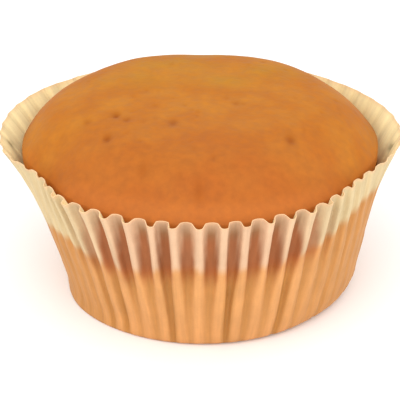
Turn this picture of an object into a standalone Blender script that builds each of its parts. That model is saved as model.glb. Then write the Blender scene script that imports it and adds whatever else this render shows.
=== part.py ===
# A muffin in the pleated paper case that it was baked in.
# The case is a shallow cup with a flat round base and a flared wall of upright pleats.
# The muffin fills the case, swells into its folds low down and rises over it in a broad dome.
# Units are metres. +Z is up, the base stands on z = 0 and the rim is centred on the Z axis.

import math

import bmesh
import bpy

# The case, measured over the outward folds.
BASE_RADIUS = 0.0251
RIM_RADIUS = 0.0346
CASE_HEIGHT = 0.0271
FLAT_BASE_RADIUS = 0.0245
PAPER = 0.00025

# How steeply the wall leans out at its foot. It stands fuller towards the front, where it
# starts with a larger flare.
START_FLARE = 0.21
FRONT_FLARE = 0.17
FRONT_FLARE_FADE = 3

# The case isn't quite round about its rim's axis: its wall stands fuller low down on the +X
# side, so each level's centre is moved to +X, by nothing at the rim and least at the base.
LEAN = 0.0017
LEAN_POWER = 1.5
CORNER_DRAW_IN = 0.85
CORNER_DRAW_IN_HEIGHT = 0.0012

# Low down the wall also bulges a little to both sides.
SIDE_BULGE = 0.0005
SIDE_BULGE_HEIGHT = 0.0200

# The rim is drawn in towards the muffin to the front of its two side points and pushed out
# behind them. The base is drawn in on the -X side and, less, to the front of the +X side. Each
# change has a direction, a half width and a depth. The rim's fade downwards, the base's upwards.
RIM_DENTS = (
    (math.radians(-150), math.radians(14), 0.0031),
    (math.radians(-32), math.radians(20), 0.0029),
)
RIM_BULGES = (
    (math.radians(155), math.radians(25), 0.0013),
    (math.radians(15), math.radians(25), 0.0009),
)
RIM_FADE = 4
BASE_DENTS = (
    (math.radians(180), math.radians(20), 0.0013),
    (math.radians(-40), math.radians(18), 0.0004),
)
BASE_DENT_HEIGHT = 0.0032

# The pleats. Every third inward fold keeps its full depth low down, where the muffin has
# pushed the others out, and the inward folds stand a little higher than the outward at the rim.
PLEATS = 55
FRONT_PLEAT_ANGLE = math.radians(-90.6)
RIM_STEP = 0.0005
DEEP_FOLD_EVERY = 3
SHALLOW_FOLD = 0.5
UNEVEN_PITCH = 0.04

# The rim is pulled out sideways, which flattens the pleats towards its two side points. The
# flattening fades away faster round the front than round the back.
SIDE_FLATTENING = 0.75
FRONT_FADE = 3
BACK_FADE = 2

# The muffin, with the air gap that it keeps to the paper. In front its side stands against the
# flattened pleats. At the back and about the two side points it keeps clear of their full depth.
GAP = 0.0003
CLOSE_FIT = 0.9
SIDE_POINT_WIDTH = math.radians(22)
SHOULDER_HEIGHT = 0.0262
TOP_HEIGHT = 0.0346
DOME_POWER = 6.0
DOME_SHIFT = -0.0003
FLUTE_TOP_ROUNDING = 0.5
SLOPE_ALLOWANCE = 1.08
DOME_RINGS = (0.985, 0.95, 0.89, 0.79, 0.62, 0.35)

# The wall's rows: the height, the depth from the outward to the inward fold, and half the width
# of the outward and of the inward fold as a share of one pleat. The muffin fills the folds up to
# FILL_HEIGHT, where they are swollen wide, and touches only the inward ones above that.
FILL_HEIGHT = 0.0165
CONTACT_HEIGHT = 0.0245
WALL_ROWS = (
    (0.0006, 0.0003, 0.30, 0.08),
    (0.0026, 0.0005, 0.30, 0.08),
    (0.0095, 0.0009, 0.28, 0.10),
    (FILL_HEIGHT, 0.0014, 0.23, 0.14),
    (0.0200, 0.0017, 0.16, 0.23),
    (CONTACT_HEIGHT, 0.0020, 0.13, 0.26),
    (CASE_HEIGHT, 0.0015, 0.15, 0.22),
)

PAPER_COLOUR = "E9C694"
CRUST_COLOUR = "D47934"


def linear_colour(hex_colour):
    # Turns an sRGB hex colour into linear red, green, blue and a full alpha.
    channels = [int(hex_colour[i:i + 2], 16) / 255 for i in (0, 2, 4)]
    return [((c + 0.055) / 1.055) ** 2.4 if c > 0.04 else c / 12.92 for c in channels] + [1.0]


def make_material(name, hex_colour, roughness):
    material = bpy.data.materials.new(name)
    material.use_nodes = True
    shader = material.node_tree.nodes["Principled BSDF"]
    shader.inputs["Base Color"].default_value = linear_colour(hex_colour)
    shader.inputs["Roughness"].default_value = roughness
    shader.inputs["Metallic"].default_value = 0.0
    return material


def axis_offset(height):
    # How far a level's centre lies to +X of the rim's axis.
    below_rim = max(0.0, 1 - (height / CASE_HEIGHT) ** LEAN_POWER)
    draw_in = CORNER_DRAW_IN * math.exp(-height / CORNER_DRAW_IN_HEIGHT)
    return LEAN * below_rim * (1 - draw_in)


def outer_radius(height, angle):
    # The outward folds start with a flare and curve towards the rim with the height's cube.
    flare = START_FLARE + FRONT_FLARE * max(0.0, -math.sin(angle)) ** FRONT_FLARE_FADE
    curl = (RIM_RADIUS - BASE_RADIUS - flare * CASE_HEIGHT) / CASE_HEIGHT ** 3
    return BASE_RADIUS + flare * height + curl * height ** 3


def bell_sum(changes, angle):
    # Each change is a bell curve round the wall.
    total = 0.0
    for middle, half_width, depth in changes:
        apart = math.remainder(angle - middle, math.tau)
        total += depth * math.exp(-(apart / half_width) ** 2)
    return total


def rim_bulge(height, angle):
    return bell_sum(RIM_BULGES, angle) * (height / CASE_HEIGHT) ** RIM_FADE


def wall_radius(height, angle):
    # The outward folds' radius with the bulges put on and the dents taken off.
    bulge = SIDE_BULGE * max(0.0, 1 - (height / SIDE_BULGE_HEIGHT) ** 2) * math.cos(angle) ** 4
    rim_dent = bell_sum(RIM_DENTS, angle) * (height / CASE_HEIGHT) ** RIM_FADE
    base_dent = bell_sum(BASE_DENTS, angle) * math.exp(-height / BASE_DENT_HEIGHT)
    return outer_radius(height, angle) + bulge + rim_bulge(height, angle) - rim_dent - base_dent


def base_radius(angle):
    # The flat base ends a little inside the wall's foot all round.
    return wall_radius(0.0, angle) - (BASE_RADIUS - FLAT_BASE_RADIUS)


def level_direction(height, angle):
    # Each pleat stands in an upright plane through the rim's axis. This turns its direction
    # from that axis into the direction from the level's own centre.
    sideways = axis_offset(height) * math.sin(angle) / outer_radius(height, angle)
    return angle + math.asin(sideways)


def fold_share(angle):
    # The share of the pleats' depth that the pull on the rim leaves in this direction.
    fade = FRONT_FADE if math.sin(angle) < 0 else BACK_FADE
    return 1 - SIDE_FLATTENING * abs(math.cos(angle)) ** fade


def fold_strength(pleat, height):
    # The share of the full depth that an inward fold has.
    if (pleat + 5) % PLEATS % DEEP_FOLD_EVERY == 0 or height > FILL_HEIGHT:
        return 1.0
    return SHALLOW_FOLD + (1 - SHALLOW_FOLD) * height / FILL_HEIGHT


def pleat_angle(pleat):
    # Outward folds stand at an even pitch, each moved a little by two slow waves.
    place = pleat % PLEATS
    wander = math.sin(2.4 * place) + math.sin(1.1 * place + 0.8)
    return FRONT_PLEAT_ANGLE + (pleat + UNEVEN_PITCH * wander) * math.tau / PLEATS


def fold_outline(row):
    # Four points for each pleat: both edges of the outward fold, then of the inward fold.
    height, depth, crest, valley = row
    points = []
    pitch = math.tau / PLEATS
    centre = axis_offset(height)
    for pleat in range(PLEATS):
        ridge_angle = pleat_angle(pleat)
        inward_angle = (ridge_angle + pleat_angle(pleat + 1)) / 2
        fold_depth = depth * fold_strength(pleat, height) * fold_share(inward_angle)
        corners = (
            (ridge_angle - crest * pitch, 0.0),
            (ridge_angle + crest * pitch, 0.0),
            (inward_angle - valley * pitch, fold_depth),
            (inward_angle + valley * pitch, fold_depth),
        )
        for rim_angle, inset in corners:
            angle = level_direction(height, rim_angle)
            radius = wall_radius(height, angle) - inset
            points.append((centre + radius * math.cos(angle), radius * math.sin(angle), height))
    return points


def directions(row):
    # The direction of each of a row's points from the row's centre.
    centre = axis_offset(row[0][2])
    return [math.atan2(y, x - centre) for x, y, _ in row]


def round_outline(angles, height, radius_at, shift=0.0):
    # A smooth row with a point in each direction, at the radius that belongs to it.
    centre = axis_offset(height) + shift
    points = []
    for angle in angles:
        radius = radius_at(angle)
        points.append((centre + radius * math.cos(angle), radius * math.sin(angle), height))
    return points


def inset_outline(points, distance):
    # Moves each side of a closed level outline inwards by the distance and meets them again.
    moved = []
    count = len(points)
    for i, (x, y, z) in enumerate(points):
        before = points[i - 1]
        after = points[(i + 1) % count]
        first = (x - before[0], y - before[1])
        second = (after[0] - x, after[1] - y)
        first_length = math.hypot(*first)
        second_length = math.hypot(*second)
        normal_a = (-first[1] / first_length, first[0] / first_length)
        normal_b = (-second[1] / second_length, second[0] / second_length)
        scale = distance / (1 + normal_a[0] * normal_b[0] + normal_a[1] * normal_b[1])
        moved.append((x + (normal_a[0] + normal_b[0]) * scale,
                      y + (normal_a[1] + normal_b[1]) * scale, z))
    return moved


def lofted_mesh(name, rows, top_point=None):
    # A skin over closed rows, bottom row first. The bottom is a flat face, and the top is left
    # open or, where a top point is given, closed by a fan to it.
    shape = bmesh.new()
    rings = [[shape.verts.new(point) for point in row] for row in rows]
    shape.faces.new(reversed(rings[0]))
    count = len(rings[0])
    for lower, upper in zip(rings, rings[1:]):
        for i in range(count):
            j = (i + 1) % count
            shape.faces.new((lower[i], lower[j], upper[j], upper[i]))
    if top_point is not None:
        peak = shape.verts.new(top_point)
        for i in range(count):
            shape.faces.new((rings[-1][i], rings[-1][(i + 1) % count], peak))
    mesh = bpy.data.meshes.new(name)
    shape.to_mesh(mesh)
    shape.free()
    mesh.shade_smooth()
    mesh.set_sharp_from_angle(angle=math.radians(35))
    return mesh


def case_rows():
    # The case's outer face, from the flat base round the corner and up the pleats to the rim.
    rows = [fold_outline(row) for row in WALL_ROWS]
    rim = []
    for i, (x, y, z) in enumerate(rows[-1]):
        is_inward_fold = i % 4 > 1
        step = RIM_STEP * fold_share(math.atan2(y, x)) if is_inward_fold else 0.0
        rim.append((x, y, z + step))
    rows[-1] = rim
    return [round_outline(directions(rows[0]), 0.0, base_radius)] + rows


def depth_share(angle):
    # The share of the pleats' full depth by which the muffin's side stays back.
    if math.sin(angle) >= 0:
        return 1.0
    from_side_point = math.asin(-math.sin(angle))
    away = 1 - math.exp(-(from_side_point / SIDE_POINT_WIDTH) ** 2)
    return 1 - CLOSE_FIT * away * (1 - fold_share(angle))


def side_radius(height, depth, angle):
    # The muffin's side above the filled folds keeps clear of the inward folds, and it doesn't
    # follow the rim where that is pushed out.
    inset = depth * depth_share(angle) + (PAPER + GAP) * SLOPE_ALLOWANCE
    return wall_radius(height, angle) - rim_bulge(height, angle) - inset


def muffin_rows():
    # Folds filled by the muffin follow the case's rows, and its side above them is smooth.
    clearance = PAPER + GAP
    rows = []
    for row in WALL_ROWS[1:-1]:
        height, depth = row[:2]
        flutes = inset_outline(fold_outline(row), clearance)
        angles = directions(flutes)
        side = round_outline(angles, height, lambda angle: side_radius(height, depth, angle))
        if height < FILL_HEIGHT:
            rows.append(flutes)
        elif height == FILL_HEIGHT:
            rows.append([[a + (b - a) * FLUTE_TOP_ROUNDING for a, b in zip(*pair)]
                         for pair in zip(flutes, side)])
        else:
            rows.append(side)
    bottom = round_outline(
        directions(rows[0]), clearance, lambda angle: base_radius(angle) - clearance)
    rise = TOP_HEIGHT - SHOULDER_HEIGHT
    for share in (1.0,) + DOME_RINGS:
        ring_height = SHOULDER_HEIGHT + rise * (1 - share ** DOME_POWER)
        rows.append(round_outline(
            angles, ring_height, lambda angle: share * side_radius(height, depth, angle),
            DOME_SHIFT))
    return [bottom] + rows


for old_object in list(bpy.data.objects):
    bpy.data.objects.remove(old_object, do_unlink=True)

muffin_collection = bpy.data.collections.new("dog_muffin")
bpy.context.scene.collection.children.link(muffin_collection)

case = bpy.data.objects.new("paper_case", lofted_mesh("paper_case", case_rows()))
muffin_collection.objects.link(case)
case.data.materials.append(make_material("greaseproof_paper", PAPER_COLOUR, 0.6))
wall = case.modifiers.new("paper", "SOLIDIFY")
wall.thickness = PAPER
wall.offset = -1
wall.use_even_offset = True

muffin = bpy.data.objects.new(
    "muffin", lofted_mesh("muffin", muffin_rows(), (DOME_SHIFT, 0.0, TOP_HEIGHT)))
muffin_collection.objects.link(muffin)
muffin.data.materials.append(make_material("baked_crust", CRUST_COLOUR, 0.7))
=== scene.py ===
# A plain muffin in the pleated paper case that it was baked in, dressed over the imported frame.
# Units are metres, +Z is up, and the case stands on z = 0 with its rim centred on the Z axis.
# Directions are angles round the Z axis from +X, and the front is -Y.
import math

import bpy
import numpy as np
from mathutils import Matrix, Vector


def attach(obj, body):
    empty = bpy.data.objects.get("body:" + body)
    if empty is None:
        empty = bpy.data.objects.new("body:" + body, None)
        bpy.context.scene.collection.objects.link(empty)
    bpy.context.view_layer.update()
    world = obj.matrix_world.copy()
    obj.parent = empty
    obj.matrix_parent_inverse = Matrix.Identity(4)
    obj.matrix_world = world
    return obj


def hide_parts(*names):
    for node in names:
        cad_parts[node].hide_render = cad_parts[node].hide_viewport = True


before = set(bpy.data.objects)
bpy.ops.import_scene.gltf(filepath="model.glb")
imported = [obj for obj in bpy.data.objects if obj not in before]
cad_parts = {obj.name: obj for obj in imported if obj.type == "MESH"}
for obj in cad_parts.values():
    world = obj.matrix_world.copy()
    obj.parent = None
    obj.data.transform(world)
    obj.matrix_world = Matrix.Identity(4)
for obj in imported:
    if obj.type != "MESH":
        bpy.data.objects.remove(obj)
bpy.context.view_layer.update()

print("frame loaded:", ", ".join(sorted(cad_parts)))

mm = 0.001
tau = math.tau


# Tools for every piece

def linearColour(hexColour):
    # An sRGB hex value becomes linear red, green, blue and a full alpha.
    values = [int(hexColour[i:i + 2], 16) / 255 for i in (0, 2, 4)]
    return [((v + 0.055) / 1.055) ** 2.4 if v > 0.04 else v / 12.92 for v in values] + [1.0]


def addNode(tree, kind, settings=None, links=None):
    # Adds one node. A setting is a socket, by name or number, or else a property of the node.
    node = tree.nodes.new(kind)
    for key, value in (settings or {}).items():
        if isinstance(key, int) or key in node.inputs:
            node.inputs[key].default_value = value
        else:
            setattr(node, key, value)
    for key, source in (links or {}).items():
        tree.links.new(source, node.inputs[key])
    return node


def smooth(low, high, value):
    # Runs from 0 at low to 1 at high along 3t^2 - 2t^3. It runs down where high is the lower.
    t = np.clip((value - low) / (high - low), 0.0, 1.0)
    return t * t * (3 - 2 * t)


def bell(distance, halfWidth):
    # e^(-(distance / halfWidth)^2)
    return np.exp(-(distance / halfWidth) ** 2)


def turn(angle, middle):
    # The turn from one direction to another, from -pi to pi.
    return (angle - middle + math.pi) % tau - math.pi


def softNoise(x, y, z, size, seed):
    # Value noise from -1 to 1: random values on a cubic lattice with cells of the given size,
    # blended across each cell along 3t^2 - 2t^3 in each direction.
    table = np.random.default_rng(seed).uniform(-1, 1, 4096)
    position = np.stack(np.broadcast_arrays(x, y, z), axis=-1) / size + 500.0
    cell = np.floor(position).astype(np.int64)
    part = position - cell
    part = part * part * (3 - 2 * part)
    total = np.zeros(part.shape[:-1])
    for corner in range(8):
        step = np.array([corner & 1, corner >> 1 & 1, corner >> 2 & 1])
        place = cell + step
        key = (place[..., 0] * 73 + place[..., 1] * 1597 + place[..., 2] * 28657) % 4096
        share = np.where(step == 1, part, 1 - part).prod(axis=-1)
        total += table[key] * share
    return total


def ringPoints(centre, radius, angle, height):
    # Points at (centre + radius * cos angle, radius * sin angle, height), as a grid.
    x, y = centre + radius * np.cos(angle), radius * np.sin(angle)
    return np.stack(np.broadcast_arrays(x, y, height), axis=-1)


def closedSkin(name, grid, bottomPoint, topPoint, attributes, material):
    # A closed skin over a grid of rows by columns by xyz: the columns go once round and meet,
    # and the first and the last row are closed by fans to one point each.
    rows, columns = grid.shape[:2]
    points = np.concatenate([grid.reshape(-1, 3), [bottomPoint], [topPoint]])
    index = np.arange(rows * columns).reshape(rows, columns)
    after = np.roll(index, -1, axis=1)
    quads = np.stack([index[:-1], after[:-1], after[1:], index[1:]], axis=-1).reshape(-1, 4)
    bottomFan = np.stack([after[0], index[0], np.full(columns, rows * columns)], axis=-1)
    topFan = np.stack([index[-1], after[-1], np.full(columns, rows * columns + 1)], axis=-1)
    mesh = bpy.data.meshes.new(name)
    mesh.from_pydata(points.tolist(), [], quads.tolist() + bottomFan.tolist() + topFan.tolist())
    for key, values in attributes.items():
        kind, field = ("FLOAT_VECTOR", "vector") if values.ndim == 3 else ("FLOAT", "value")
        layer = mesh.attributes.new(key, kind, "POINT")
        flat = values.reshape(rows * columns, -1)
        ends = [row.reshape(columns, -1).mean(axis=0) for row in (values[0], values[-1])]
        layer.data.foreach_set(field, np.concatenate([flat, ends]).astype(np.float32).ravel())
    mesh.shade_smooth()
    mesh.set_sharp_from_angle(angle=math.radians(65))
    mesh.materials.append(material)
    piece = bpy.data.objects.new(name, mesh)
    bpy.context.scene.collection.objects.link(piece)
    print(name, "has", len(mesh.polygons), "faces")
    return piece


# The pleated wall, which the case and the filled folds of the muffin share

wall = {
    "pleats": 55,
    "frontPleat": math.radians(-90.6),  # direction of the outward fold nearest the front
    "unevenPitch": 0.04,                # share of a pleat
    "baseRadius": 25.1 * mm,
    "baseInset": 0.6 * mm,              # the flat base ends this far inside the wall's foot
    "rimRadius": 34.6 * mm,
    "height": 27.1 * mm,
    "startFlare": 0.21,
    "frontFlare": 0.17,                 # added to it at the front
    "frontFlareFade": 3,
    "lean": 1.7 * mm,                   # how far the low wall stands to +X of the rim
    "leanPower": 1.5,
    "cornerDrawIn": 0.85,
    "cornerDrawInHeight": 1.2 * mm,
    "sideBulge": 0.5 * mm,
    "sideBulgeHeight": 20 * mm,
    # Direction, half width and depth in mm of each dent and bulge.
    "rimDents": ((-150, 14, 3.1), (-32, 20, 2.9)),
    "rimBulges": ((155, 25, 1.3), (15, 25, 0.9)),
    "rimFade": 4,
    "baseDents": ((180, 20, 1.3), (-40, 18, 0.4)),
    "baseDentHeight": 3.2 * mm,
    # The pull on the rim flattens the pleats towards its two side points.
    "sideFlattening": 0.75,
    "frontFade": 3,
    "backFade": 2,
    "lowSideFlattening": 0.40,          # more of it low down
    "highSideFlattening": 0.35,         # and high up about the side points
    "lowZone": (21 * mm, 12 * mm),      # what is low down sets in over these heights
    "sideZone": (28, 52),               # degrees from the front over which the sides set in
    "pointZone": (42, 60),              # and the zone about the side points sets in
    "pointZoneEnd": (152, 128),
    # Height, depth of the folds, half width of the outward and of the inward fold in pleats.
    "rows": (
        (0.6, 0.30, 0.25, 0.08),
        (2.6, 0.50, 0.24, 0.08),
        (9.5, 0.90, 0.22, 0.10),
        (16.5, 1.40, 0.19, 0.15),
        (20.0, 1.70, 0.15, 0.22),
        (24.5, 2.00, 0.13, 0.26),
        (27.1, 1.50, 0.15, 0.22),
    ),
    "foldRounding": 0.12,               # share of a fold's depth that rounds its two ends
    "swing": (0.015, 0.045),            # the folds' wander in pleats: all over, and more low down
    "swingLength": 4.6 * mm,
    # How much of the drawn differences in width shows: all over, and more low down.
    "crestSpread": (0.7, 1.0),
    "valleySpread": (0.7, 1.4),
    # The muffin has pushed out all but every third inward fold, up to the height given.
    "deepFoldEvery": 3,
    "deepFoldShift": 5,
    "deepFold": 1.15,                   # share of the full depth, at the base
    "shallowFold": 0.5,
    "pushedOutHeight": 16.5 * mm,
    "rimStep": 0.5 * mm,                # inward folds stand this much higher at the rim
    # The cake fills the folds up to this height in mm. Directions in degrees from the front.
    "fillLine": (
        (-180, 17.0), (-130, 15.5), (-105, 14.0), (-76, 14.0), (-62, 16.6), (-50, 17.0),
        (-40, 16.6), (-34, 15.8), (-26, 16.0), (-13, 17.6), (0, 18.0), (14, 18.2), (32, 18.5),
        (40, 19.0), (47, 19.6), (52, 20.6), (58, 21.9), (66, 22.0), (75, 21.6), (100, 20.0),
        (140, 18.0), (180, 17.0),
    ),
    "fillSpread": 0.5,                  # in mm, from pleat to pleat
    "seed": 11,
}

rng = np.random.default_rng(wall["seed"])
pleatCount = wall["pleats"]
pitch = tau / pleatCount
# What differs from pleat to pleat: widths, depths, wander, fill line, cut edge, and the stain with
# its painted shade.
pleatFacts = {
    "crest": rng.uniform(0.86, 1.18, pleatCount),
    "valley": rng.uniform(0.85, 1.15, pleatCount),
    "depth": rng.uniform(0.88, 1.08, pleatCount),
    "lowDepth": rng.uniform(0.60, 1.25, pleatCount),
    "swing": rng.uniform(-1, 1, pleatCount),
    "phase": rng.uniform(0, tau, pleatCount),
    "fill": rng.uniform(-1, 1, pleatCount),
    "rim": rng.uniform(-1, 1, pleatCount),
    "stainShade": rng.uniform(0.90, 1.05, pleatCount),
}


def axisOffset(height):
    # lean * (1 - (h / H)^power) * (1 - drawIn * e^(-h / drawInHeight)), nothing over the rim.
    below = np.clip(1 - (height / wall["height"]) ** wall["leanPower"], 0, None)
    drawIn = wall["cornerDrawIn"] * np.exp(-height / wall["cornerDrawInHeight"])
    return wall["lean"] * below * (1 - drawIn)


def outerRadius(height, angle):
    # base + flare * h + curl * h^3, where the curl makes it meet the rim's radius and the
    # flare is larger to the front by frontFlare * (-sin angle)^fade.
    tall = wall["height"]
    toFront = np.clip(-np.sin(angle), 0, None) ** wall["frontFlareFade"]
    flare = wall["startFlare"] + wall["frontFlare"] * toFront
    curl = (wall["rimRadius"] - wall["baseRadius"] - flare * tall) / tall ** 3
    return wall["baseRadius"] + flare * height + curl * height ** 3


def bellSum(changes, angle):
    # The sum of bell curves round the wall, each with its direction, half width and depth.
    return sum(depth * mm * bell(turn(angle, math.radians(middle)), math.radians(halfWidth))
               for middle, halfWidth, depth in changes)


def rimBulge(height, angle):
    # How far the rim is pushed out, fading downwards with (h / H)^fade.
    return bellSum(wall["rimBulges"], angle) * (height / wall["height"]) ** wall["rimFade"]


def wallRadius(height, angle):
    # The outward folds' radius: sideBulge * (1 - (h / bulgeHeight)^2) * cos^4 and the rim's
    # bulges more, and less the rim's dents and the base's, which fade with e^(-h / height).
    bulge = np.clip(1 - (height / wall["sideBulgeHeight"]) ** 2, 0, None)
    bulge = wall["sideBulge"] * bulge * np.cos(angle) ** 4 + rimBulge(height, angle)
    rimDent = bellSum(wall["rimDents"], angle) * (height / wall["height"]) ** wall["rimFade"]
    baseDent = bellSum(wall["baseDents"], angle) * np.exp(-height / wall["baseDentHeight"])
    return outerRadius(height, angle) + bulge - rimDent - baseDent


def foldShare(angle):
    # The share of the folds' depth that is left: 1 - flattening * |cos angle|^fade.
    fade = np.where(np.sin(angle) < 0, wall["frontFade"], wall["backFade"])
    return 1 - wall["sideFlattening"] * np.abs(np.cos(angle)) ** fade


def fromFront(angle):
    # Degrees from the front, positive towards +X.
    return np.degrees(turn(angle, -math.pi / 2))


def foldGrid(height, segments):
    # The wall at a column of heights. One pleat runs from the middle of an outward fold over
    # its half crest, a side, the inward fold, a side and the next half crest, each cut into
    # the given number of parts. Gives for each point:
    # rimAngle   its direction from the rim's axis
    # direction  its direction from the level's own centre
    # fold       0 on the outward fold and 1 on the inward fold
    # depth      the fold's full depth there
    # strength   that depth as a share of the level's usual depth
    # across     how far it is from the middle of the inward fold, in pleats
    # pleat      the pleat's number
    crestParts, sideParts, valleyParts = segments
    height = height[:, None, None]
    table = np.array(wall["rows"])
    depth, crest, valley = (
        np.interp(height / mm, table[:, 0], table[:, column]) for column in (1, 2, 3))
    pleat = np.arange(pleatCount + 1)
    number = pleat % pleatCount
    wander = np.sin(2.4 * number) + np.sin(1.1 * number + 0.8)
    ridge = wall["frontPleat"] + (pleat + wall["unevenPitch"] * wander) * pitch
    ridge = np.broadcast_to(ridge, (height.shape[0], 1, pleatCount + 1))
    # Low down the folds wander sideways and each has its own width.
    low = smooth(*wall["lowZone"], height)
    phase = height / wall["swingLength"] + pleatFacts["phase"][number]
    allOver, lowDown = wall["swing"]
    swing = allOver + lowDown * low * smooth(0, 5 * mm, height)
    ridge = ridge + pitch * swing * pleatFacts["swing"][number] * np.sin(phase)
    allOver, lowDown = wall["crestSpread"]
    crestWidth = crest * (1 + (pleatFacts["crest"][number] - 1) * (allOver + lowDown * low))
    allOver, lowDown = wall["valleySpread"]
    valleyWidth = valley * (1 + (pleatFacts["valley"] - 1) * (allOver + lowDown * low))
    start, end = ridge[..., :-1], ridge[..., 1:]
    middle = (start + end) / 2
    corners = (
        start,
        start + crestWidth[..., :-1] * pitch,
        middle - valleyWidth * pitch,
        middle + valleyWidth * pitch,
        end - crestWidth[..., 1:] * pitch,
        end,
    )
    rounding = wall["foldRounding"]
    sideRise = 1 - 2 * rounding
    angles, folds = [], []
    for part, count in enumerate((crestParts, sideParts, valleyParts, sideParts, crestParts)):
        t = (np.arange(count) / count)[None, :, None]
        eased = 0.45 * t + 0.55 * t * t * (3 - 2 * t)
        angles.append(corners[part] + (corners[part + 1] - corners[part]) * t)
        folds.append(np.broadcast_to((
            rounding * t * t,
            rounding + sideRise * eased,
            1 - rounding * (2 * t - 1) ** 2,
            1 - rounding - sideRise * eased,
            rounding * (1 - t) ** 2,
        )[part], angles[-1].shape))
    rimAngle = np.concatenate(angles, axis=1)
    fold = np.concatenate(folds, axis=1)
    # Low down most folds are pushed out, and the rest have more than the usual depth.
    number = np.arange(pleatCount)
    deep = (number + wall["deepFoldShift"]) % pleatCount % wall["deepFoldEvery"] == 0
    share = np.clip(height / wall["pushedOutHeight"], 0, 1)
    weak = wall["shallowFold"] + (1 - wall["shallowFold"]) * share
    weak = weak * (1 + (pleatFacts["lowDepth"] - 1) * (1 - share))
    strength = np.where(deep, wall["deepFold"] + (1 - wall["deepFold"]) * share, weak)
    strength = strength * (1 + (pleatFacts["depth"] - 1) * smooth(0.3, 1.0, share))
    aside = np.abs(fromFront(rimAngle))
    lowSides = low * smooth(*wall["sideZone"], aside)
    points = (1 - low) * smooth(*wall["pointZone"], aside) * smooth(*wall["pointZoneEnd"], aside)
    flatter = wall["lowSideFlattening"] * lowSides + wall["highSideFlattening"] * points
    strength = strength * foldShare(rimAngle) * (1 - flatter)
    centre = axisOffset(height)
    direction = rimAngle + np.arcsin(centre * np.sin(rimAngle) / outerRadius(height, rimAngle))
    facts = {
        "rimAngle": rimAngle,
        "direction": direction,
        "fold": fold,
        "depth": depth * mm * strength,
        "strength": strength,
        "across": np.abs(rimAngle - middle) / pitch,
        "pleat": number,
    }
    # The pleats are put one after another round each row.
    shape = fold.shape
    return {
        key: np.broadcast_to(values, shape).transpose(0, 2, 1).reshape(shape[0], -1)
        for key, values in facts.items()}


def fillHeight(folds):
    # The height up to which the cake fills the folds, a little different from pleat to pleat.
    table = np.array(wall["fillLine"])
    line = np.interp(fromFront(folds["rimAngle"]), table[:, 0], table[:, 1])
    return (line + wall["fillSpread"] * pleatFacts["fill"][folds["pleat"]]) * mm


def levelDepth(heights):
    # The usual full depth of the folds at each height, as a column.
    table = np.array(wall["rows"])
    return np.interp(heights / mm, table[:, 0], table[:, 1])[:, None] * mm


# The muffin

muffinSizes = {
    "shoulder": 26.2 * mm,
    "top": 34.6 * mm,
    "domePower": 6.0,
    "domeShift": -0.3 * mm,             # along X
    "bottom": 0.45 * mm,
    "bottomInset": 0.2 * mm,
    "paperClearance": 0.32 * mm,
    "lowClearance": 0.7,                # share of it that is added below the shoulder
    "lowClearanceFade": (24 * mm, 20 * mm),
    "fillEdge": (-0.5 * mm, 0.9 * mm),  # about the fill line, where the cake leaves the folds
    "closeFit": 0.9,                    # how closely it stands to the flattened pleats in front
    "sidePointWidth": math.radians(22), # but not about the rim's two side points
    "leftSwell": (180, 38, 0.45),       # direction, half width and height in mm of the side's swell
    "swellFade": (17 * mm, 24 * mm),
    "segments": (1, 3, 2),
    # Heights of the side's rows in mm.
    "sideHeights": (
        np.linspace(1.2, 15.5, 12), np.linspace(16.2, 22.2, 12), np.linspace(23.0, 24.5, 3)),
    "domeRows": 96,
    "domeCrowding": 1.25,               # more puts the dome's rows closer to its edge
    "domeCap": 0.015,                   # share of the radius that the closing fan covers
    "domeShiftPower": 8,                # more takes the rows to the dome's own centre sooner
    "bottomRows": 4,
    # Broad rises of the dome: x, y, half width and height in mm.
    "rises": ((-13.0, 19.0, 5.5, 0.22), (14.0, 18.5, 6.0, 0.35), (0.0, 23.0, 6.5, -0.10)),
    # Small rises and hollows of the crust: cell size and height in mm.
    "swells": ((13.0, 0.20), (5.5, 0.10), (2.2, 0.035), (0.9, 0.014)),
    # Burst bubbles in the crust: x, y, radius and depth in mm.
    "bubbles": (
        (-14.2, -7.3, 0.62, 0.42), (-15.3, -15.1, 0.66, 0.45), (-4.6, -11.0, 0.78, 0.28),
        (14.7, -15.2, 0.85, 0.34), (-19.0, -8.8, 0.70, 0.20), (-12.3, -9.4, 0.60, 0.22),
        (6.0, -2.8, 0.75, 0.18), (-9.2, -23.8, 0.80, 0.16), (-0.3, -27.8, 0.90, 0.20),
    ),
    "bubbleStretch": 1.7,               # their length to the front over their width
    "smallBubbles": 70,
    "smallBubbleReach": 28,             # from the axis in mm
    "smallBubbleSize": (0.30, 0.48),
    "smallBubbleDepth": (0.04, 0.12),
    "darkDepth": (0.38, 0.40),          # the depth at which a large and a small one gets its full painted shade
    "crustFade": (24.0 * mm, 27.5 * mm),
    # Paler ochre patches, where the crust browned least: x, y, half length and half width.
    "palePatches": (
        (-11.0, 8.0, 6.5, 4.2), (3.0, 7.0, 6.0, 3.2), (-5.0, 14.5, 9.0, 4.5),
        (13.0, 12.0, 6.0, 3.5), (-2.0, 22.0, 13.0, 4.0),
    ),
    # The patches' mean strength, how much it swings and over what cell size.
    "paleMottle": (0.75, 0.5, 3.5 * mm),
    # Where the crust turns redder and darker to the front, as painted shade of its steep front
    # slope, and how far that swings over what cell size.
    "redFront": (-2 * mm, -30 * mm),
    "redMottle": (3 * mm, 8 * mm),
    # The darker back edge, painted shade of the dome's far edge, and the lighter front edge, painted
    # light that offsets the shade there: shares of the radius, and where each sets in along Y.
    "backEdge": (0.90, 1.0),
    "backEdgeSide": (-8 * mm, 6 * mm),
    "backEdgeMottle": (0.02, 4 * mm),
    "frontEdgeLight": (0.93, 1.0),
    "frontEdgeSide": (4 * mm, -14 * mm),
    "seed": 23,
}


def bubbleBell(x, y, px, py, size):
    # A bell curve that is longer along Y.
    stretch = muffinSizes["bubbleStretch"]
    return bell(np.hypot(x / mm - px, (y / mm - py) / stretch), size)


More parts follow.
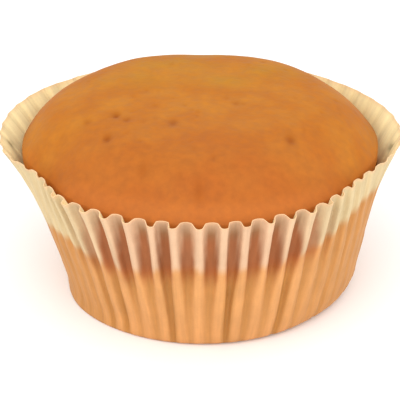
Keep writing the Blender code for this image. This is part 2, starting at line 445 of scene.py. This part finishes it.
def depthShare(angle):
    # The share of the folds' depth by which the side stays back: in front
    # 1 - closeFit * (1 - e^(-(from side point / width)^2)) * (1 - foldShare), and 1 behind.
    fromSidePoint = np.arcsin(np.clip(-np.sin(angle), 0, 1))
    away = 1 - bell(fromSidePoint, muffinSizes["sidePointWidth"])
    return 1 - muffinSizes["closeFit"] * away * (1 - foldShare(angle))


def muffinSkin():
    # Rows from the flat bottom up the side, which follows the paper at a small clearance, and
    # over the dome: z = shoulder + rise * (1 - share^power), share being radius over edge.
    sizes = muffinSizes
    heights = np.concatenate(sizes["sideHeights"]) * mm
    folds = foldGrid(heights, sizes["segments"])
    angle = folds["direction"]
    up = heights[:, None]
    lowDown = smooth(*sizes["lowClearanceFade"], up)
    clearance = sizes["paperClearance"] * (1 + sizes["lowClearance"] * lowDown)
    filled = 1 - smooth(*sizes["fillEdge"], up - fillHeight(folds))
    tallest = levelDepth(heights) * depthShare(angle)
    inset = tallest + (folds["fold"] * folds["depth"] - tallest) * filled
    middle, halfWidth, swell = sizes["leftSwell"]
    swell = swell * mm * bell(turn(angle, math.radians(middle)), math.radians(halfWidth))
    swell = swell * smooth(*sizes["swellFade"], up)
    radius = wallRadius(up, angle) - rimBulge(up, angle) * (1 - filled) - inset - clearance + swell
    centre = axisOffset(up)
    side = ringPoints(centre, radius, angle, up)

    # The bottom: the lowest side row drawn in to the flat.
    shares = np.linspace(0.35, 1.0, sizes["bottomRows"])[:, None]
    flat = (wallRadius(0.0, angle[0]) - wall["baseInset"] - sizes["bottomInset"]) * shares
    bottom = ringPoints(axisOffset(0.0), flat, angle[0], sizes["bottom"])

    # The dome: its share of the edge runs evenly along the arc, closer near the edge.
    steps = np.linspace(0, 1, sizes["domeRows"])[:, None]
    share = 1 - steps ** sizes["domeCrowding"] * (1 - sizes["domeCap"])
    domeRadius = radius[-1] * share
    rise = sizes["top"] - sizes["shoulder"]
    domeHeight = sizes["shoulder"] + rise * (1 - share ** sizes["domePower"])
    shift = sizes["domeShift"]
    offset = shift + (axisOffset(heights[-1]) - shift) * share ** sizes["domeShiftPower"]
    dome = ringPoints(offset, domeRadius, angle[-1], domeHeight)
    grid = np.concatenate([bottom, side, dome])
    x, y, z = grid[..., 0], grid[..., 1], grid[..., 2]

    # The crust's relief is vertical and fades out down the side.
    crust = smooth(*sizes["crustFade"], z)
    lift = np.zeros(x.shape)
    for px, py, halfWidth, height in sizes["rises"]:
        lift += bell(np.hypot(x / mm - px, y / mm - py), halfWidth) * height * mm
    for seed, (cell, height) in enumerate(sizes["swells"]):
        lift += softNoise(x, y, z, cell * mm, seed + sizes["seed"]) * height * mm
    # The bubbles are dented, and their colour gets painted shade that is darkest where they are
    # deepest.
    pitShade = np.zeros(x.shape)
    largeDark, smallDark = sizes["darkDepth"]
    for px, py, size, deep in sizes["bubbles"]:
        near = bubbleBell(x, y, px, py, size)
        lift -= near * deep * mm
        pitShade = np.maximum(pitShade, near * min(1.0, deep / largeDark))
    draw = np.random.default_rng(sizes["seed"])
    for _ in range(sizes["smallBubbles"]):
        away = sizes["smallBubbleReach"] * math.sqrt(draw.uniform(0.01, 1))
        towards = draw.uniform(0, tau)
        size = draw.uniform(*sizes["smallBubbleSize"])
        deep = draw.uniform(*sizes["smallBubbleDepth"])
        near = bubbleBell(x, y, away * math.cos(towards), away * math.sin(towards), size)
        lift -= near * deep * mm
        pitShade = np.maximum(pitShade, near * deep / smallDark)
    grid[..., 2] = z + lift * crust

    # Where the crust stayed paler; painted shade, redder and darker, on the front slope and along
    # the back edge; and painted light along the front edge.
    pale = np.zeros(x.shape)
    for px, py, halfLength, halfWidth in sizes["palePatches"]:
        away = np.hypot((x / mm - px) / halfLength, (y / mm - py) / halfWidth)
        pale = np.maximum(pale, bell(away, 1))
    mean, swing, cell = sizes["paleMottle"]
    pale = pale * (mean + swing * softNoise(x, y, z, cell, 71))
    swing, cell = sizes["redMottle"]
    frontShade = smooth(*sizes["redFront"], y + swing * softNoise(x, y, z, cell, 72))
    out = np.hypot(x, y) / radius[-1].mean()
    swing, cell = sizes["backEdgeMottle"]
    backShade = smooth(*sizes["backEdge"], out + swing * softNoise(x, y, z, cell, 73))
    attributes = {
        "pitShade": pitShade * crust,
        "pale": np.clip(pale, 0, 1) * crust,
        "frontShade": frontShade,
        "backEdgeShade": backShade * smooth(*sizes["backEdgeSide"], y),
        "frontEdgeLight": smooth(*sizes["frontEdgeLight"], out) * smooth(*sizes["frontEdgeSide"], y),
    }
    return grid, attributes


crustLook = {
    "tones": ("B26819", "B87220"),      # the crust's own two tones, in soft patches
    # Colour of each zone and its strength over the one below. The front zone, the back edge zone and
    # the bubbles' dark are painted shade, and the front edge zone is painted light.
    "zones": {
        "pale": ("B07A1C", 0.70),
        "frontShade": ("A55523", 0.70),
        "backEdgeShade": ("9A6024", 0.50),
        "frontEdgeLight": ("C87434", 0.42),
        "pitShade": ("883E00", 0.75),
    },
    # Widths of the patches, the crumb and the pores in mm.
    "patch": 7,
    "crumb": 1.4,
    "pore": 0.9,
    "speckle": (0.92, 1.07),            # the crumb's darkest and lightest share of the colour
    "roughness": (0.55, 0.72),
    "specular": 0.12,
    "poreDepth": 0.10 * mm,
    "crumbDepth": 0.16 * mm,
}


def bakedCrust():
    # Baked egg-and-sugar batter: the oven browns its sugars, so the eye meets a matt orange
    # brown that varies from ochre to red-brown in soft patches, with pores and dark bubbles.
    # The colour also holds painted shade on the front slope, along the back edge and in the bubbles,
    # and painted light along the front edge.
    look = crustLook
    material = bpy.data.materials.new("bakedCrust")
    material.use_nodes = True
    tree = material.node_tree
    shader = tree.nodes["Principled BSDF"]
    place = addNode(tree, "ShaderNodeTexCoord").outputs["Object"]
    reads = {key: addNode(tree, "ShaderNodeAttribute", {"attribute_name": key}).outputs["Fac"]
             for key in look["zones"]}
    # Noise scale is cells a metre: 1000 / cell size in mm.
    broad = addNode(tree, "ShaderNodeTexNoise", {"Scale": 1000 / look["patch"], "Detail": 3.0},
                    {"Vector": place})
    fine = addNode(tree, "ShaderNodeTexNoise", {"Scale": 1000 / look["crumb"], "Detail": 3.0},
                   {"Vector": place})
    pores = addNode(tree, "ShaderNodeTexVoronoi", {"Scale": 1000 / look["pore"]}, {"Vector": place})

    broadShare = addNode(tree, "ShaderNodeMapRange", {1: 0.38, 2: 0.62}, {0: broad.outputs["Fac"]})
    low, high = map(linearColour, look["tones"])
    colour = addNode(tree, "ShaderNodeMix", {"data_type": "RGBA", 6: low, 7: high},
                     {0: broadShare.outputs[0]}).outputs[2]
    low, high = look["speckle"]
    speckle = addNode(tree, "ShaderNodeMapRange", {1: 0.3, 2: 0.7, 3: low, 4: high},
                      {0: fine.outputs["Fac"]})
    for key, (hexColour, strength) in look["zones"].items():
        if key == "pitShade":
            # Pores and crumb show as a light speckle, but not in the burst bubbles.
            colour = addNode(tree, "ShaderNodeVectorMath", {"operation": "SCALE"},
                             {0: colour, "Scale": speckle.outputs[0]}).outputs[0]
        amount = addNode(tree, "ShaderNodeMath", {"operation": "MULTIPLY", 1: strength},
                         {0: reads[key]})
        colour = addNode(tree, "ShaderNodeMix", {"data_type": "RGBA", 7: linearColour(hexColour)},
                         {0: amount.outputs[0], 6: colour}).outputs[2]
    tree.links.new(colour, shader.inputs["Base Color"])

    low, high = look["roughness"]
    rough = addNode(tree, "ShaderNodeMapRange", {1: 0.3, 2: 0.7, 3: low, 4: high},
                    {0: fine.outputs["Fac"]})
    tree.links.new(rough.outputs[0], shader.inputs["Roughness"])
    shader.inputs["Specular IOR Level"].default_value = look["specular"]
    poreBump = addNode(tree, "ShaderNodeBump", {"Strength": 0.30, "Distance": look["poreDepth"]},
                       {"Height": pores.outputs["Distance"]})
    crustBump = addNode(tree, "ShaderNodeBump", {"Strength": 0.35, "Distance": look["crumbDepth"]},
                        {"Height": fine.outputs["Fac"], "Normal": poreBump.outputs[0]})
    tree.links.new(crustBump.outputs[0], shader.inputs["Normal"])
    return material


muffinGrid, muffinAttributes = muffinSkin()
muffin = closedSkin(
    "muffin_crust", muffinGrid, (axisOffset(0.0), 0.0, muffinSizes["bottom"]),
    muffinGrid[-1].mean(axis=0), muffinAttributes, bakedCrust())
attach(muffin, "root")
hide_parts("muffin")
print("muffin done")


# The paper case

caseSizes = {
    "paper": 0.12 * mm,
    "segments": (2, 4, 4),
    # Heights of the wall's rows in mm, closer at the corner, at the fill line and at the rim.
    "heights": (
        (0.0, 0.05, 0.2, 0.45, 0.8, 1.3),
        np.linspace(2.0, 15.0, 15),
        np.linspace(15.7, 24.6, 16),
        np.linspace(25.1, 27.1, 7),
    ),
    "baseRings": (0.25, 0.6, 0.85, 0.95),
    # Cell size and height in mm of the crinkles, which are strongest where grease soaked in.
    "crinkles": ((3.2, 0.11), (1.3, 0.04)),
    "soakEdge": (0.9 * mm, -0.5 * mm),  # of the soaked paper, about the fill line
    "dryCrinkle": 0.3,                  # the crinkles' share where the paper is dry
    "flatFoot": 2 * mm,                 # the crinkles set in over this height
    "rimRipple": 0.10 * mm,
    "rimZone": 23.5 * mm,               # the cut edge's steps set in over this
    "ringZone": (0.7, 0.97),            # share of the base's radius where its folds set in
    "cornerHeight": 1.0 * mm,           # the wall turns into the base below this
    "foldStart": -0.2 * mm,             # the folds set in from here up to it
    "baseLift": 0.08 * mm,              # of the inward folds at the base's edge
    "grainStretch": 0.09,
}

# The stains in the paper and the painted light and shade on it: heights in mm, widths across a fold
# in pleats, directions in degrees.
stainsAndShade = {
    "patternRadius": 31 * mm,           # round the wall, patterns are read at this radius
    "mottle": 1.3 * mm,
    "mottleLift": 0.25 * mm,            # how much it moves the edge of the soaked paper
    "soakEdge": (0.9, -1.2),            # about the fill line
    # The red-brown mark of the inward folds, the cake seen through the paper and painted shade in
    # the folds: its half width and what is added to it over the fill line, its soft edge, its
    # weakest share under the rim, where only the painted shade is left, and its fades.
    "reach": 0.36,
    "reachMottle": 0.03,
    "reachOver": (0.08, 0.09),          # in front, and more aside
    "reachAside": (12, 30),
    "reachTop": 26,
    "softEdge": 0.27,
    "underRim": 0.30,
    "underRimFade": (27.3, 24.2),
    "overBaseFade": (-4.8, 0.3),        # about the fill line
    "asideFade": (49, 32),
    # How far the dark grooves of the soaked paper reach, in pleats, and how much of their strength
    # they have whatever their depth. Their dark is partly the denser paper and partly painted shade
    # in the creases.
    "grooveReach": (0.42, 0.06),
    "leastGroove": 0.15,
    "sideShadeTone": 0.56,                   # the middle tone of the soaked paper at the sides
    "sideGrooves": 0.20,                # and how much its folds show
    # The painted highlight along the cut edge: its strength and heights in mm.
    "rimHighlightStrength": 0.5,
    "rimFade": (26.5, 27.1),
    "highFade": (22.8, 26.0),
    "asideTint": (18, 48),
    "behindTint": (98, 125),
    # Small painted shadows at the rim's two ends: direction, height, half width and half height.
    "tipShadowSpots": ((178, 24.8, 1.12, 0.8), (2, 24.3, 1.12, 0.8)),
    "tipShadowStrength": 0.7,
}


def gridNormals(grid):
    # The unit cross product of the steps round a row and up a column.
    around = np.roll(grid, -1, axis=1) - np.roll(grid, 1, axis=1)
    upwards = np.gradient(grid, axis=0)
    normal = np.cross(around, upwards)
    return normal / np.maximum(np.linalg.norm(normal, axis=-1, keepdims=True), 1e-12)


def aroundWall(angle):
    # The place round the wall at the radius at which patterns are read.
    return stainsAndShade["patternRadius"] * np.cos(angle), stainsAndShade["patternRadius"] * np.sin(angle)


def paperStainsAndShade(heights, folds):
    # Where the paper has drawn up grease and where the cake shows through it, with painted shade in
    # the folds, a painted highlight along the cut edge and painted shadows at the rim's two ends.
    up = heights[:, None]
    high = up / mm
    across, pleat, rimAngle = folds["across"], folds["pleat"], folds["rimAngle"]
    aside = np.abs(fromFront(rimAngle))
    mottle = softNoise(*aroundWall(rimAngle), up, stainsAndShade["mottle"], 51)
    line = (fillHeight(folds) + stainsAndShade["mottleLift"] * mottle) / mm
    soak = smooth(*stainsAndShade["soakEdge"], high - line)
    # Over the fill line the cake touches the inward folds only. Their mark, the cake seen through
    # the paper with painted shade in the folds, is darkest in the middle, ends softly below the rim,
    # where what is left is painted shade only, and a few millimetres under the fill line, and fades
    # towards the sides, where the pleats are flat.
    inFront, moreAside = stainsAndShade["reachOver"]
    over = inFront + moreAside * smooth(*stainsAndShade["reachAside"], aside)
    over = over * smooth(stainsAndShade["reachTop"], line, high)
    reach = stainsAndShade["reach"] + over
    inwards = smooth(reach, reach - stainsAndShade["softEdge"], across + stainsAndShade["reachMottle"] * mottle)
    underRim = stainsAndShade["underRim"] + (1 - stainsAndShade["underRim"]) * smooth(*stainsAndShade["underRimFade"], high)
    overBase = smooth(*stainsAndShade["overBaseFade"], high - line)
    facing = smooth(*stainsAndShade["asideFade"], aside)
    contactStainShade = inwards * underRim * overBase * facing * pleatFacts["stainShade"][pleat]
    # Under the fill line the inward folds are darker, partly for the overlapping paper and partly as
    # painted shade in the creases, most of all those that stayed deep, and the paper at the sides
    # has one middle tone.
    strength = folds["strength"] / foldShare(rimAngle)
    strength = np.clip(stainsAndShade["leastGroove"] + (1 - stainsAndShade["leastGroove"]) * strength, 0, 1)
    creaseShade = smooth(*stainsAndShade["grooveReach"], across) * strength
    sideShadeTone = stainsAndShade["sideShadeTone"] + stainsAndShade["sideGrooves"] * creaseShade
    sideways = smooth(*wall["sideZone"], aside)
    lowCreaseShade = creaseShade * (1 - sideways) + sideShadeTone * sideways
    # Painted shadows at the rim's two ends.
    tipShadow = 0
    for middle, height, halfWidth, halfHeight in stainsAndShade["tipShadowSpots"]:
        apart = turn(rimAngle, math.radians(middle)) * wall["rimRadius"] / mm
        tipShadow = tipShadow + bell(np.hypot(apart / halfWidth, (high - height) / halfHeight), 1)
    values = {
        "soak": soak,
        "contactStainShade": np.clip(contactStainShade, 0, 1),
        "lowCreaseShade": np.clip(lowCreaseShade, 0, 1),
        "aside": smooth(*stainsAndShade["asideTint"], aside),
        "behind": smooth(*stainsAndShade["behindTint"], aside),
        "rimHighlight": stainsAndShade["rimHighlightStrength"] * smooth(*stainsAndShade["rimFade"], high),
        "high": smooth(*stainsAndShade["highFade"], high),
        "tipShadow": stainsAndShade["tipShadowStrength"] * tipShadow,
    }
    return {key: np.broadcast_to(value, rimAngle.shape) for key, value in values.items()}


def caseSkin():
    # Rows from the middle of the base out to the corner, up the outside to the rim, over the
    # cut edge and back down the inside, which lies one paper thickness along the normals.
    sizes = caseSizes
    heights = np.concatenate(sizes["heights"]) * mm
    folds = foldGrid(heights, sizes["segments"])
    angle, fold, rimAngle = folds["direction"], folds["fold"], folds["rimAngle"]
    up = heights[:, None]
    corner = np.clip(1 - up / sizes["cornerHeight"], 0, 1) ** 2
    foldStart = smooth(sizes["foldStart"], sizes["cornerHeight"], up)
    inset = fold * folds["depth"] * foldStart + wall["baseInset"] * corner
    radius = wallRadius(up, angle) - inset
    soaked = smooth(*sizes["soakEdge"], up - fillHeight(folds))
    crinkled = sizes["dryCrinkle"] + (1 - sizes["dryCrinkle"]) * soaked
    crinkled = crinkled * smooth(0, sizes["flatFoot"], up)
    for seed, (cell, height) in enumerate(sizes["crinkles"]):
        x, y = radius * np.cos(angle), radius * np.sin(angle)
        radius = radius + softNoise(x, y, up, cell * mm, 40 + seed) * height * mm * crinkled
    # The cut edge stands higher at the inward folds and is a little uneven.
    ripple = pleatFacts["rim"][folds["pleat"]] * sizes["rimRipple"] * (0.5 + 0.5 * fold)
    step = wall["rimStep"] * fold * foldShare(rimAngle)
    z = up + smooth(sizes["rimZone"], wall["height"], up) * (step + ripple)
    outside = ringPoints(axisOffset(up), radius, angle, z)

    rings = np.array(sizes["baseRings"])[:, None]
    baseCentre = np.array([axisOffset(0.0), 0.0, 0.0])
    base = baseCentre + (outside[0] - baseCentre) * rings[..., None]
    base[..., 2] = sizes["baseLift"] * smooth(*sizes["ringZone"], rings) * fold[0]
    outer = np.concatenate([base, outside])
    inner = outer - gridNormals(outer) * sizes["paper"]
    grid = np.concatenate([outer, inner[::-1]])

    # The stains, painted light and painted shade lie alike on both faces, and the base has those of
    # the wall's foot. The paper's grain is read round the wall at one radius, and slowly up it.
    values = paperStainsAndShade(heights, folds)
    slowUp = up * sizes["grainStretch"]
    values["grain"] = np.stack(np.broadcast_arrays(*aroundWall(rimAngle), slowUp), axis=-1)
    attributes = {}
    for key, value in values.items():
        half = np.concatenate([np.repeat(value[:1], len(base), axis=0), value])
        attributes[key] = np.concatenate([half, half[::-1]])
    attributes["inside"] = np.zeros(grid.shape[:2])
    attributes["inside"][len(outer):] = 1.0
    return grid, attributes


paperLook = {
    "colours": {
        "dryFront": "D3AD8B",           # dry paper outside: pinkish cream in front
        "drySide": "CDB78D",            # and greyer to the sides
        "innerSideLit": "FBEAB4",          # inside at the sides: painted light, lightened for light through the paper
        "innerLow": "D9B274",           # inside behind: low down by the cake
        "innerHighLit": "EDD7A2",          # and near the rim, lightened as painted light through the paper
        # The soaked inward folds are darker, partly for the overlapping paper and partly as painted
        # shade in the creases.
        "soakedRidge": "D0945A",
        "soakedFoldShade": "B37B3E",
        "stainShadeLow": "9E6039",           # the cake through the inward folds, with painted shade in them
        "stainShadeHigh": "926C48",
        "stainShadeSoaked": "A2592A",
        # The painted highlight along the cut edge.
        "rim": "E2B084",
        # The painted shadow at the rim's two ends.
        "tipShadow": "6A5A38",
    },
    # Each mix: what it makes, the attribute that mixes, and the colours at its 0 and at its 1.
    "mixes": (
        ("dry", "aside", "dryFront", "drySide"),
        ("innerBehind", "high", "innerLow", "innerHighLit"),
        ("inner", "behind", "innerSideLit", "innerBehind"),
        ("dry", "inside", "dry", "inner"),
        ("soaked", "lowCreaseShade", "soakedRidge", "soakedFoldShade"),
        ("paper", "soak", "dry", "soaked"),
        ("stainShade", "high", "stainShadeLow", "stainShadeHigh"),
        ("stainShade", "soak", "stainShade", "stainShadeSoaked"),
        ("paper", "contactStainShade", "paper", "stainShade"),
        ("paper", "rimHighlight", "paper", "rim"),
        ("paper", "tipShadow", "paper", "tipShadow"),
    ),
    # Each pattern: its width in mm, its detail and how much it changes the colour. Paper fibres
    # are 0.02 mm wide and drawn at 0.35 mm, the finest that shows.
    "cloud": (4, 3.0, 0.05),
    "streak": (0.7, 2.0, 0.07),
    "fibre": (0.35, 2.0, 0.02),
    "roughness": (0.75, 0.55),          # dry and soaked
    "specular": 0.18,
    "streakDepth": 0.10 * mm,
    "fibreDepth": 0.06 * mm,
}


def greaseproofPaper():
    # Thin bleached greaseproof paper, pressed into pleats and baked: the eye meets matt cream
    # where it stayed dry, warm translucent orange where it has drawn up butter, and the
    # crust's red brown through it where the cake touches the inward folds.
    # The colours also hold painted shade in the folds, painted light on the inside and along the cut
    # edge, and painted shadows at the rim's two ends.
    look = paperLook
    material = bpy.data.materials.new("greaseproofPaper")
    material.use_nodes = True
    tree = material.node_tree
    shader = tree.nodes["Principled BSDF"]
    place = addNode(tree, "ShaderNodeTexCoord").outputs["Object"]
    grain = addNode(tree, "ShaderNodeAttribute", {"attribute_name": "grain"}).outputs["Vector"]
    reads = {key: addNode(tree, "ShaderNodeAttribute", {"attribute_name": key}).outputs["Fac"]
             for key in ("soak", "contactStainShade", "lowCreaseShade", "aside", "behind", "rimHighlight", "high",
                         "tipShadow", "inside")}

    made = {key: linearColour(hexColour) for key, hexColour in look["colours"].items()}
    for result, attribute, low, high in look["mixes"]:
        node = addNode(tree, "ShaderNodeMix", {"data_type": "RGBA"}, {0: reads[attribute]})
        for socket, colour in ((6, made[low]), (7, made[high])):
            if isinstance(colour, list):
                node.inputs[socket].default_value = colour
            else:
                tree.links.new(colour, node.inputs[socket])
        made[result] = node.outputs[2]
    colour = made["paper"]

    patterns = {}
    for key, coordinates in (("cloud", place), ("streak", grain), ("fibre", place)):
        width, detail, change = look[key]
        noise = addNode(tree, "ShaderNodeTexNoise", {"Scale": 1000 / width, "Detail": detail},
                        {"Vector": coordinates})
        patterns[key] = noise.outputs["Fac"]
        factor = addNode(tree, "ShaderNodeMapRange", {1: 0.3, 2: 0.7, 3: 1 - change, 4: 1 + change},
                         {0: patterns[key]})
        colour = addNode(tree, "ShaderNodeVectorMath", {"operation": "SCALE"},
                         {0: colour, "Scale": factor.outputs[0]}).outputs[0]
    tree.links.new(colour, shader.inputs["Base Color"])

    dry, soaked = look["roughness"]
    rough = addNode(tree, "ShaderNodeMapRange", {3: dry, 4: soaked}, {0: reads["soak"]})
    tree.links.new(rough.outputs[0], shader.inputs["Roughness"])
    shader.inputs["Specular IOR Level"].default_value = look["specular"]
    streakBump = addNode(tree, "ShaderNodeBump", {"Strength": 0.30, "Distance": look["streakDepth"]},
                         {"Height": patterns["streak"]})
    fibreBump = addNode(tree, "ShaderNodeBump", {"Strength": 0.30, "Distance": look["fibreDepth"]},
                        {"Height": patterns["fibre"], "Normal": streakBump.outputs[0]})
    tree.links.new(fibreBump.outputs[0], shader.inputs["Normal"])
    return material


caseGrid, caseAttributes = caseSkin()
baseMiddle = np.array([axisOffset(0.0), 0.0, 0.0])
case = closedSkin(
    "pleated_case", caseGrid, baseMiddle, baseMiddle + (0.0, 0.0, caseSizes["paper"]),
    caseAttributes, greaseproofPaper())
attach(case, "root")
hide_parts("paper_case")
print("paper case done")


# Floor, light and camera

studio = {
    "floorColour": "FDFDFD",
    "worldColour": "FFFFFF",
    "worldStrength": 1.06,
    "keyPower": 1.75,
    "keySize": 0.6,
    "keyPlace": (-0.16, -0.42, 0.42),
    "fillPower": 0.9,
    "fillSize": 0.6,
    "fillPlace": (0.40, -0.35, 0.30),
    "cameraDistance": 0.300,
    "cameraElevation": math.radians(27.06),
    "cameraTarget": (0.0, 0.0, 0.015),
    "lens": 152.55,
    "shift": (-0.0015, -0.00475),
}


def plainFloor():
    # Matt white card.
    material = bpy.data.materials.new("whiteCard")
    material.use_nodes = True
    shader = material.node_tree.nodes["Principled BSDF"]
    shader.inputs["Base Color"].default_value = linearColour(studio["floorColour"])
    shader.inputs["Roughness"].default_value = 0.9
    shader.inputs["Specular IOR Level"].default_value = 0.1
    half, level = 2.0, -0.1 * mm
    mesh = bpy.data.meshes.new("floor")
    mesh.from_pydata([(-half, -half, level), (half, -half, level), (half, half, level),
                      (-half, half, level)], [], [(0, 1, 2, 3)])
    mesh.materials.append(material)
    floor = bpy.data.objects.new("floor", mesh)
    bpy.context.scene.collection.objects.link(floor)


def softLight(name, power, size, place):
    # A square lamp that faces the middle of the muffin.
    lamp = bpy.data.lights.new(name, "AREA")
    lamp.energy = power
    lamp.size = size
    holder = bpy.data.objects.new(name, lamp)
    holder.location = place
    direction = Vector(studio["cameraTarget"]) - Vector(place)
    holder.rotation_euler = direction.to_track_quat("-Z", "Y").to_euler()
    bpy.context.scene.collection.objects.link(holder)


plainFloor()
softLight("keyLight", studio["keyPower"], studio["keySize"], studio["keyPlace"])
softLight("fillLight", studio["fillPower"], studio["fillSize"], studio["fillPlace"])
world = bpy.data.worlds.new("studioWorld")
world.use_nodes = True
background = world.node_tree.nodes["Background"]
background.inputs["Color"].default_value = linearColour(studio["worldColour"])
background.inputs["Strength"].default_value = studio["worldStrength"]
scene = bpy.context.scene
scene.world = world
scene.view_settings.view_transform = "Standard"

cameraData = bpy.data.cameras.new("camera")
cameraData.lens = studio["lens"]
cameraData.sensor_width = 36.0
cameraData.shift_x, cameraData.shift_y = studio["shift"]
cameraData.clip_start = 0.01
cameraData.clip_end = 20.0
camera = bpy.data.objects.new("camera", cameraData)
elevation, distance = studio["cameraElevation"], studio["cameraDistance"]
target = Vector(studio["cameraTarget"])
camera.location = target + distance * Vector((0, -math.cos(elevation), math.sin(elevation)))
camera.rotation_euler = (target - camera.location).to_track_quat("-Z", "Y").to_euler()
scene.collection.objects.link(camera)
scene.camera = camera
print("floor, light and camera done")
